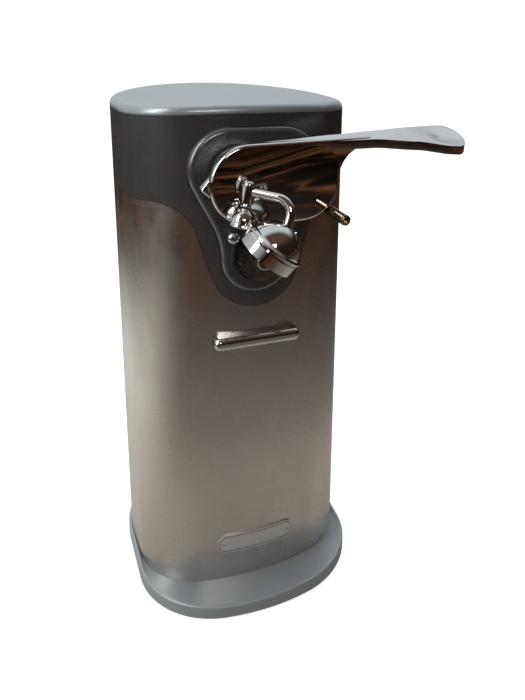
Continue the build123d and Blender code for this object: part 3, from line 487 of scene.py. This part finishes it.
class Bench:
    """Modelling steps in edit mode that the sub-assemblies share."""

    @staticmethod
    def clear() -> None:
        """Leave edit mode and deselect everything."""
        if bpy.context.object and bpy.context.object.mode != "OBJECT":
            bpy.ops.object.mode_set(mode="OBJECT")
        bpy.ops.object.select_all(action="DESELECT")

    @staticmethod
    def edit(piece: bpy.types.Object, mode: str = "FACE") -> None:
        """Open a piece in edit mode with nothing selected."""
        Bench.clear()
        bpy.context.view_layer.objects.active = piece
        piece.select_set(True)
        bpy.ops.object.mode_set(mode="EDIT")
        bpy.ops.mesh.select_mode(type=mode)
        bpy.ops.mesh.select_all(action="DESELECT")

    @staticmethod
    def close(piece: bpy.types.Object) -> bpy.types.Object:
        """Leave edit mode."""
        bpy.ops.object.mode_set(mode="OBJECT")
        return piece

    @staticmethod
    def smooth(piece: bpy.types.Object, angle: float = 32.0) -> bpy.types.Object:
        """Shade a piece smoothly below an angle."""
        Bench.clear()
        bpy.context.view_layer.objects.active = piece
        piece.select_set(True)
        bpy.ops.object.shade_smooth_by_angle(angle=math.radians(angle))
        piece.select_set(False)
        return piece

    @staticmethod
    def modify(piece: bpy.types.Object, kind: str, **settings: Any) -> bpy.types.Object:
        """Add a modifier and apply it."""
        Bench.clear()
        bpy.context.view_layer.objects.active = piece
        piece.select_set(True)
        modifier = piece.modifiers.new(kind.lower(), kind)
        for key, value in settings.items():
            setattr(modifier, key, value)
        bpy.ops.object.modifier_apply(modifier=modifier.name)
        return piece

    @staticmethod
    def turned(name: str, profile: Sequence[Pair], at: Point, along: Point,
               steps: int = 72) -> bpy.types.Object:
        """Draw a ring out along its axis into a turned piece.

        Args:
            name: The piece's name.
            profile: Radius and height of each ring in millimetres, from the foot up.
            at: Where height 0 lies.
            along: The direction of the axis.
            steps: Corners around.

        Returns:
            The closed piece.
        """
        Bench.clear()
        radius, height = profile[0]
        bpy.ops.mesh.primitive_circle_add(
            vertices=steps, radius=radius * MM, fill_type="NGON", location=(0, 0, height * MM))
        piece = bpy.context.object
        piece.name = piece.data.name = name
        bpy.ops.object.transform_apply(location=True, rotation=True, scale=True)
        bpy.ops.object.mode_set(mode="EDIT")
        bpy.ops.mesh.select_all(action="SELECT")
        for wide, high in profile[1:]:
            bpy.ops.mesh.extrude_region_move(
                TRANSFORM_OT_translate={"value": (0, 0, (high - height) * MM)})
            bpy.ops.transform.resize(value=(wide / radius, wide / radius, 1.0),
                                     center_override=(0, 0, high * MM))
            radius, height = wide, high
        bpy.ops.mesh.select_all(action="SELECT")
        bpy.ops.mesh.normals_make_consistent(inside=False)
        bpy.ops.object.mode_set(mode="OBJECT")
        return Bench.settle(piece, at, along)

    @staticmethod
    def settle(piece: bpy.types.Object, at: Point, along: Point) -> bpy.types.Object:
        """Stand a piece drawn along Z at its place and put that place in its mesh."""
        Bench.clear()
        bpy.context.view_layer.objects.active = piece
        piece.select_set(True)
        piece.rotation_euler = Vector(along).to_track_quat("Z", "Y").to_euler()
        piece.location = Vector(at) * MM
        bpy.ops.object.transform_apply(location=True, rotation=True, scale=True)
        return piece

    @staticmethod
    def slab(name: str, outline: Sequence[Pair], front: float, back: float, edge: float,
             segments: int = 5) -> bpy.types.Object:
        """Cut a plate that faces forward and round its front edge.

        Args:
            name: The piece's name.
            outline: Corners as X and Z in millimetres, in order.
            front: Y of the front face.
            back: Y of the back face.
            edge: Radius of the front edge.
            segments: Steps in that radius.

        Returns:
            The plate.
        """
        Bench.clear()
        bpy.ops.mesh.primitive_circle_add(vertices=len(outline), radius=1.0, fill_type="NGON")
        piece = bpy.context.object
        piece.name = piece.data.name = name
        for corner, (x, z) in zip(piece.data.vertices, outline):
            corner.co = Vector((x, back, z)) * MM
        Bench.edit(piece)
        bpy.ops.mesh.select_all(action="SELECT")
        bpy.ops.mesh.extrude_region_move(TRANSFORM_OT_translate={"value": (0, (front - back) * MM, 0)})
        bpy.ops.mesh.bevel(offset=edge * MM, segments=segments, affect="EDGES")
        bpy.ops.mesh.select_all(action="SELECT")
        bpy.ops.mesh.normals_make_consistent(inside=False)
        return Bench.close(piece)

    @staticmethod
    def carve(piece: bpy.types.Object, tool: bpy.types.Object) -> bpy.types.Object:
        """Cut one piece with another and take the tool away."""
        Bench.modify(piece, "BOOLEAN", operation="DIFFERENCE", object=tool, solver="EXACT")
        bpy.data.objects.remove(tool)
        return piece

    @staticmethod
    def join(name: str, pieces: Sequence[bpy.types.Object]) -> bpy.types.Object:
        """Join pieces that are one casting."""
        Bench.clear()
        for piece in pieces:
            piece.select_set(True)
        bpy.context.view_layer.objects.active = pieces[0]
        bpy.ops.object.join()
        pieces[0].name = pieces[0].data.name = name
        return pieces[0]


PAINT = Paint()


def report(piece: bpy.types.Object) -> None:
    """Log one finished piece."""
    log.info("%s: %d faces", piece.name, len(piece.data.polygons))


# ---- Studio -----------------------------------------------------------------------------------

@dataclass
class Studio:
    """The floor, the light and the camera."""

    lens_px: float = 686.0
    image_px: tuple[int, int] = (525, 700)
    centre_px: tuple[float, float] = (332.6, 205.5)
    camera_at: Point = (-82.5, -312.5, 261.0)
    azimuth: float = 23.84
    pitch: float = 14.69
    roll: float = 1.67
    floor_size: float = 12.0
    floor_drop: float = 0.2
    counter_reach: float = 1.6
    # Painted pool of light: the counter's colour by distance from the opener, pale near it and black
    # far off.
    counter_fade: tuple[tuple[float, Colour], ...] = (
        (0.0, (0.55, 0.51, 0.47)), (0.075, (0.42, 0.385, 0.35)), (0.12, (0.23, 0.205, 0.185)),
        (0.22, (0.085, 0.069, 0.059)), (0.35, (0.022, 0.017, 0.014)),
        (0.6, (0.004, 0.003, 0.0027)), (1.0, (0.004, 0.003, 0.0027)))
    board: Colour = (0.20, 0.08, 0.04)
    # Painted light: the pale patch on the counter to the opener's left.
    pale_left: Colour = (0.80, 0.775, 0.73)
    room_dark: Colour = (0.018, 0.013, 0.011)
    room_top: Colour = (0.62, 0.675, 0.71)
    room_front: Colour = (0.085, 0.05, 0.036)
    room_side: Colour = (0.50, 0.51, 0.51)
    room_rear: Colour = (0.42, 0.44, 0.455)

    def build(self) -> None:
        """Make all of it."""
        self.make_floor()
        self.make_world()
        self.make_lights()
        self.make_camera()

    def make_floor(self) -> None:
        """Lay a plain pale floor that mirrors in the metal as a darker counter. The counter's colour
        holds painted light: it is pale near the opener and on its left, and fades to black far off.
        """
        Bench.clear()
        bpy.ops.mesh.primitive_plane_add(size=self.floor_size, location=(0, 0, -self.floor_drop * MM))
        floor = bpy.context.object
        floor.name = "floor"
        r = Recipe("floor_white")
        grain = r.noise((1.0, 1.0, 1.0), 40.0, 2.0, 0.5)
        reach = r.node("ShaderNodeVectorMath", {"operation": "LENGTH"}, {0: r.place})["Value"]
        boards = r.noise((1.0, 7.0, 1.0), 1.6, 3.0, 0.6).above(0.50, 0.62)
        # Painted pool of light: the counter's colour fades from pale near the opener to black far off.
        # Wood boards are laid over it further out.
        counter = r.ramp(reach / self.counter_reach, self.counter_fade)
        counter = r.blend(boards * reach.above(0.3, 0.7), counter, self.board)
        # Painted light: a pale patch on the counter to the left of the opener. It is full within 0.15 m
        # and fades out by 0.62 m.
        left_light_mask = (-1.0 * r.axis("X") + 0.8 * r.axis("Y")).above(0.02, 0.32)
        counter = r.blend(0.9 * (left_light_mask * reach.above(0.62, 0.15)), counter, self.pale_left)
        seen = r.blend(grain, (0.50, 0.50, 0.50), (0.52, 0.52, 0.52))
        eye = r.node("ShaderNodeLightPath")["Is Camera Ray"]
        material = r.finish(
            Base_Color=r.blend(eye, counter, seen), Roughness=0.9, Specular_IOR_Level=0.0,
            Emission_Color=r.blend(eye, (0.0, 0.0, 0.0), (0.84, 0.84, 0.84)), Emission_Strength=1.0)
        floor.data.materials.append(material)

    def make_world(self) -> None:
        """Make the room that the metal mirrors: dark and brown ahead, pale overhead and to the left."""
        world = bpy.data.worlds.new("room")
        bpy.context.scene.world = world
        world.use_nodes = True
        tree = world.node_tree
        tree.nodes.clear()
        new = tree.nodes.new
        place, split = new("ShaderNodeTexCoord"), new("ShaderNodeSeparateXYZ")
        tree.links.new(place.outputs["Generated"], split.inputs[0])
        across, ahead, up = (Shade(tree, split.outputs[letter]) for letter in "XYZ")
        high = up.above(0.25, 0.75)
        overhead, forward = high * ahead.above(-0.30, 0.12), high * ahead.above(0.05, -0.35)
        aside = (-1.0 * across).above(0.55, 0.98) * (1.0 - high)
        behind = ahead.above(0.2, 0.9) * (1.0 - high)
        red, green, blue = (
            base + top * overhead + near * forward + side * aside + rear * behind
            for base, top, near, side, rear in zip(
                self.room_dark, self.room_top, self.room_front, self.room_side, self.room_rear))
        join = new("ShaderNodeCombineXYZ")
        for socket, value in zip(join.inputs, (red, green, blue)):
            tree.links.new(value.socket, socket)
        room, backdrop = new("ShaderNodeBackground"), new("ShaderNodeBackground")
        tree.links.new(join.outputs[0], room.inputs["Color"])
        backdrop.inputs["Color"].default_value = (1.0, 1.0, 1.0, 1.0)
        rays, mix = new("ShaderNodeLightPath"), new("ShaderNodeMixShader")
        out = new("ShaderNodeOutputWorld")
        tree.links.new(rays.outputs["Is Camera Ray"], mix.inputs[0])
        tree.links.new(room.outputs[0], mix.inputs[1])
        tree.links.new(backdrop.outputs[0], mix.inputs[2])
        tree.links.new(mix.outputs[0], out.inputs[0])

    def make_lights(self) -> None:
        """Hang the soft boxes."""
        boxes = [
            ("window", (-1.0, -0.25, 0.8), (0.0, 0.0, 0.1), (0.35, 0.9), 6.0, (0.97, 0.99, 1.0)),
            ("ceiling", (0.05, 0.5, 1.4), (0.0, 0.0, 0.1), (1.2, 1.0), 14.0, (0.98, 1.0, 1.02)),
            ("fill", (-0.2, -1.3, 0.9), (0.0, 0.0, 0.12), (0.5, 0.3), 2.5, (1.0, 0.97, 0.94)),
        ]
        for name, place, aim, size, power, colour in boxes:
            data = bpy.data.lights.new(name, "AREA")
            data.shape = "RECTANGLE"
            data.size, data.size_y = size
            data.energy = power
            data.color = colour
            lamp = bpy.data.objects.new(name, data)
            lamp.location = place
            lamp.visible_glossy = name != "ceiling"
            lamp.rotation_euler = (Vector(aim) - Vector(place)).to_track_quat("-Z", "Y").to_euler()
            bpy.context.scene.collection.objects.link(lamp)

    def make_camera(self) -> None:
        """Place the camera."""
        data = bpy.data.cameras.new("camera")
        data.sensor_fit = "AUTO"
        data.sensor_width = 36.0
        width, height = self.image_px
        data.lens = self.lens_px * data.sensor_width / height
        data.shift_x = (width / 2 - self.centre_px[0]) / height
        data.shift_y = (self.centre_px[1] - height / 2) / height
        data.clip_start, data.clip_end = 0.01, 50.0
        camera = bpy.data.objects.new("camera", data)
        turn, tip, roll = (math.radians(v) for v in (self.azimuth, self.pitch, self.roll))
        ahead = Vector((math.sin(turn) * math.cos(tip), math.cos(turn) * math.cos(tip), -math.sin(tip)))
        right = Vector((math.cos(turn), -math.sin(turn), 0.0))
        up = right.cross(ahead)
        rolled_right = math.cos(roll) * right + math.sin(roll) * up
        rolled_up = -math.sin(roll) * right + math.cos(roll) * up
        turned = Matrix((rolled_right, rolled_up, -ahead)).transposed().to_4x4()
        camera.matrix_world = Matrix.Translation(Vector(self.camera_at) * MM) @ turned
        bpy.context.scene.collection.objects.link(camera)
        bpy.context.scene.camera = camera
        scene = bpy.context.scene
        scene.view_settings.view_transform = "Standard"
        scene.view_settings.look = "None"


# ---- The opener -------------------------------------------------------------------------------

@dataclass
class CadNodes:
    """Dresses the CAD nodes that are shown as they are."""

    def build(self) -> None:
        """Give each CAD node the finish of its slot."""
        slots = {s["node"]: s["material_slot"] for s in frame["record"]["subparts"]}
        for name, node in frame["nodes"].items():
            PAINT.dress(node, Finish[slots[name]])


def arc(centre: Pair, radius: float, start: float, end: float, steps: int) -> list[Pair]:
    """Return points on an arc.

    Args:
        centre: Its centre.
        radius: Its radius.
        start: First angle in degrees.
        end: Last angle in degrees.
        steps: Spaces between the points.

    Returns:
        The points, both ends included.
    """
    turns = (math.radians(start + (end - start) * i / steps) for i in range(steps + 1))
    return [(centre[0] + radius * math.cos(a), centre[1] + radius * math.sin(a)) for a in turns]


def put(piece: bpy.types.Object, finish: Finish, body: str, nodes: Sequence[str],
        angle: float = 35.0) -> bpy.types.Object:
    """Smooth, dress and attach a finished piece.

    Args:
        piece: The mesh object.
        finish: Its finish, whose name is its slot.
        body: The body it rides on.
        nodes: The CAD nodes it stands in for.
        angle: Edges sharper than this stay sharp.

    Returns:
        The same object.
    """
    Bench.smooth(piece, angle)
    PAINT.dress(piece, finish)
    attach(piece, body)
    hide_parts(*nodes)
    report(piece)
    return piece


@dataclass
class Lever:
    """The chrome lever: mirror plate, hub, stop, wheel lug and the handle with its thumb pad."""

    axis: Pair = (-8.0, 201.0)
    left_radius: float = 16.0
    right_centre: Pair = (12.7, 201.4)
    right_radius: float = 16.1
    web_centre: Pair = (42.2, 201.2)
    web_radius: float = 13.7
    rise: float = 1.5
    front: float = -67.5
    back: float = -64.3
    rim: float = 1.25
    pocket_corners: tuple[tuple[Pair, float, float], ...] = (
        ((25.9, 214.3), 60.0, 195.0), ((29.6, 206.6), 200.0, 340.0), ((33.6, 214.2), -20.0, 120.0))
    pocket_corner: float = 1.1
    pocket_depth: float = 0.55
    pad_centre: Pair = (79.2, -65.0)
    pad_radius: float = 7.95
    stations: tuple[tuple[float, ...], ...] = (
        (-10.0, -66.6, -64.3, 216.3, 216.7), (4.0, -67.0, -64.0, 216.6, 217.5),
        (26.0, -67.4, -63.6, 217.0, 218.9), (44.0, -68.2, -62.4, 217.2, 219.8),
        (62.0, -70.4, -59.8, 215.9, 220.3), (78.0, -72.6, -57.4, 213.7, 220.3),
        (90.0, -72.8, -57.2, 212.6, 219.4))
    handle_thick: float = 3.7
    handle_set_back: float = 0.4
    handle_edge: float = 0.85
    grid: tuple[int, int] = (240, 56)
    dish: Pair = (9.0, 6.2)
    dish_depth: float = 0.75
    slit_lean: Pair = (0.89, 0.456)
    slit_depth: float = 0.6
    slit_y: float = -65.6
    hub_foot: float = -53.0
    hub_profile: tuple[Pair, ...] = (
        (13.0, 0.0), (13.3, 0.3), (13.3, 4.2), (13.3, 4.4), (14.0, 4.8), (14.2, 5.2),
        (14.2, 6.6), (13.8, 7.0), (13.8, 7.4), (14.2, 7.8), (14.2, 11.4))
    stop_corners: tuple[Pair, ...] = (
        (-9.5, 8.3), (-17.3, -1.4), (-17.7, -2.2), (-17.3, -3.1), (-9.5, -10.0), (-8.0, 0.0))
    stop_depth: Pair = (-60.2, -56.2)
    lug_heights: Pair = (182.3, 191.3)
    lug_radius: float = 4.6
    lug_depth: Pair = (-63.9, -60.9)
    slits: tuple[Point, ...] = ((73.4, 0.32, 1.9), (75.0, 0.5, 2.4))

    def build(self) -> None:
        """Make the lever as one casting."""
        parts = [self.plate(), self.handle(), self.hub(), self.stop(), self.wheel_lug()]
        put(Bench.join("lever_chrome", parts), Finish.chrome, "lever", ["lever"], 30.0)

    def plate(self) -> bpy.types.Object:
        """Cut the mirror plate with its straight top edge, web and shallow pocket."""
        (ax, az), (bx, bz) = self.axis, self.right_centre
        reach = math.hypot(bx - ax, bz - az)
        lean = math.degrees(math.atan2(bz - az, bx - ax))
        spread = math.degrees(math.asin((self.right_radius - self.left_radius) / reach))
        low = lean - spread - 90.0
        top = 90.0 + self.rise
        outline = arc(self.axis, self.left_radius, top, 360.0 + low, 44)
        outline += arc(self.right_centre, self.right_radius, low, 0.0, 26)
        outline += arc(self.web_centre, self.web_radius, 178.0, 90.0, 22)
        slope = math.tan(math.radians(self.rise))
        start_x, start_z = outline[0]
        outline.append((self.web_centre[0], start_z + slope * (self.web_centre[0] - start_x)))
        plate = Bench.slab("lever_plate", outline, self.front, self.back, self.rim, 6)
        pocket = [point for centre, first, last in self.pocket_corners
                  for point in arc(centre, self.pocket_corner, first, last, 6)]
        tool = Bench.slab("pocket", pocket, self.front - 1.0, self.front + self.pocket_depth, 0.01, 1)
        return Bench.carve(plate, tool)

    def across(self, x: float) -> list[float]:
        """Return the handle's front Y, back Y, front Z and back Z at one X."""
        spots = self.stations
        for one, two in zip(spots, spots[1:]):
            if x <= two[0]:
                share = (x - one[0]) / (two[0] - one[0])
                share = 0.5 * share + 0.5 * share * share * (3 - 2 * share)
                return [p + (q - p) * share for p, q in zip(one[1:], two[1:])]
        return list(spots[-1][1:])

    def slit_sink(self, x: float, y: float) -> float:
        """Return how deep the pad's slits are at one place."""
        sink = 0.0
        right, back = self.slit_lean
        for slit_x, half_wide, half_long in self.slits:
            aside = right * (x - slit_x) + back * (y - self.slit_y)
            past_end = abs(back * (x - slit_x) - right * (y - self.slit_y)) / half_long
            sink += (self.slit_depth * max(0.0, 1.0 - (aside / half_wide) ** 2)
                     * max(0.0, 1.0 - past_end ** 4))
        return sink

    def handle(self) -> bpy.types.Object:
        """Draw the handle's top over a grid, dish its pad and give it thickness."""
        Bench.clear()
        long, wide = self.grid
        bpy.ops.mesh.primitive_grid_add(x_subdivisions=long, y_subdivisions=wide, size=2.0)
        piece = bpy.context.object
        start, end = self.stations[0][0], self.pad_centre[0] + self.pad_radius
        for corner in piece.data.vertices:
            along = math.sin((corner.co.x + 1.0) * math.pi / 4)
            x = start + (end - start) * along
            front, back, front_z, back_z = self.across(x)
            past = max(0.0, x - self.pad_centre[0])
            half = math.sqrt(max(0.3, self.pad_radius ** 2 - past ** 2))
            near, far = max(front, self.pad_centre[1] - half), min(back, self.pad_centre[1] + half)
            share = (corner.co.y + 1.0) / 2.0
            y = near + (far - near) * share
            z = front_z + (back_z - front_z) * (y - front) / (back - front)
            reach = math.hypot((x - self.pad_centre[0] + 1.0) / self.dish[0],
                               (y - self.pad_centre[1]) / self.dish[1])
            z -= self.dish_depth * max(0.0, 1.0 - reach * reach) ** 1.5 + self.slit_sink(x, y)
            corner.co = Vector((x, y, z)) * MM
        Bench.edit(piece)
        bpy.ops.mesh.select_all(action="SELECT")
        bpy.ops.mesh.extrude_region_move(
            TRANSFORM_OT_translate={
                "value": (0, self.handle_set_back * MM, -self.handle_thick * MM)})
        bpy.ops.mesh.select_all(action="SELECT")
        bpy.ops.mesh.normals_make_consistent(inside=False)
        Bench.close(piece)
        Bench.modify(piece, "BEVEL", width=self.handle_edge * MM, segments=4, limit_method="ANGLE",
                     angle_limit=math.radians(50.0))
        return piece

    def hub(self) -> bpy.types.Object:
        """Turn the hub that stands off the front panel."""
        x, z = self.axis
        return Bench.turned("lever_hub", self.hub_profile, (x, self.hub_foot, z), (0, -1, 0), 96)

    def stop(self) -> bpy.types.Object:
        """Cut the pointed stop at the hub's left."""
        x, z = self.axis
        outline = [(x + across, z + up) for across, up in self.stop_corners]
        return Bench.slab("lever_stop", outline, *self.stop_depth, 0.9, 3)

    def wheel_lug(self) -> bpy.types.Object:
        """Cut the lug that carries the cutting wheel."""
        low, high = self.lug_heights
        outline = arc((0.0, high), self.lug_radius, 0.0, 180.0, 16)
        outline += arc((0.0, low), self.lug_radius, 180.0, 360.0, 16)
        return Bench.slab("lever_wheel_lug", outline, *self.lug_depth, 0.3, 2)


@dataclass
class Swivel:
    """The chrome swivel that stands on the lever and carries the lid arm."""

    foot: Point = (-13.1, -72.2, 186.9)
    along: Point = (0.17, 0.0, 1.0)
    profile: tuple[Pair, ...] = (
        (0.6, 0.0), (4.7, 0.0), (5.05, 0.25), (5.1, 0.7), (4.85, 1.05), (4.75, 1.35), (4.72, 2.2),
        (4.55, 3.1), (4.2, 4.0), (3.65, 4.9), (2.95, 5.7), (2.2, 6.3), (1.75, 6.7), (1.75, 7.0),
        (2.1, 7.15), (2.1, 7.75), (1.75, 7.9), (1.4, 8.3), (1.4, 15.7), (2.2, 15.72), (2.35, 16.0),
        (2.35, 16.4), (2.05, 16.9), (1.5, 17.4), (0.8, 17.75), (0.2, 17.8))

    def build(self) -> None:
        """Turn the swivel."""
        pin = Bench.turned("swivel_chrome", self.profile, self.foot, self.along, 64)
        put(pin, Finish.chrome, "lever", ["swivel_pin"], 50.0)


def main() -> None:
    """Build the opener's looks in order."""
    logging.basicConfig(level=logging.INFO, format="%(message)s")
    CadNodes().build()
    Lever().build()
    Swivel().build()
    Studio().build()


if __name__ == "__main__":
    main()
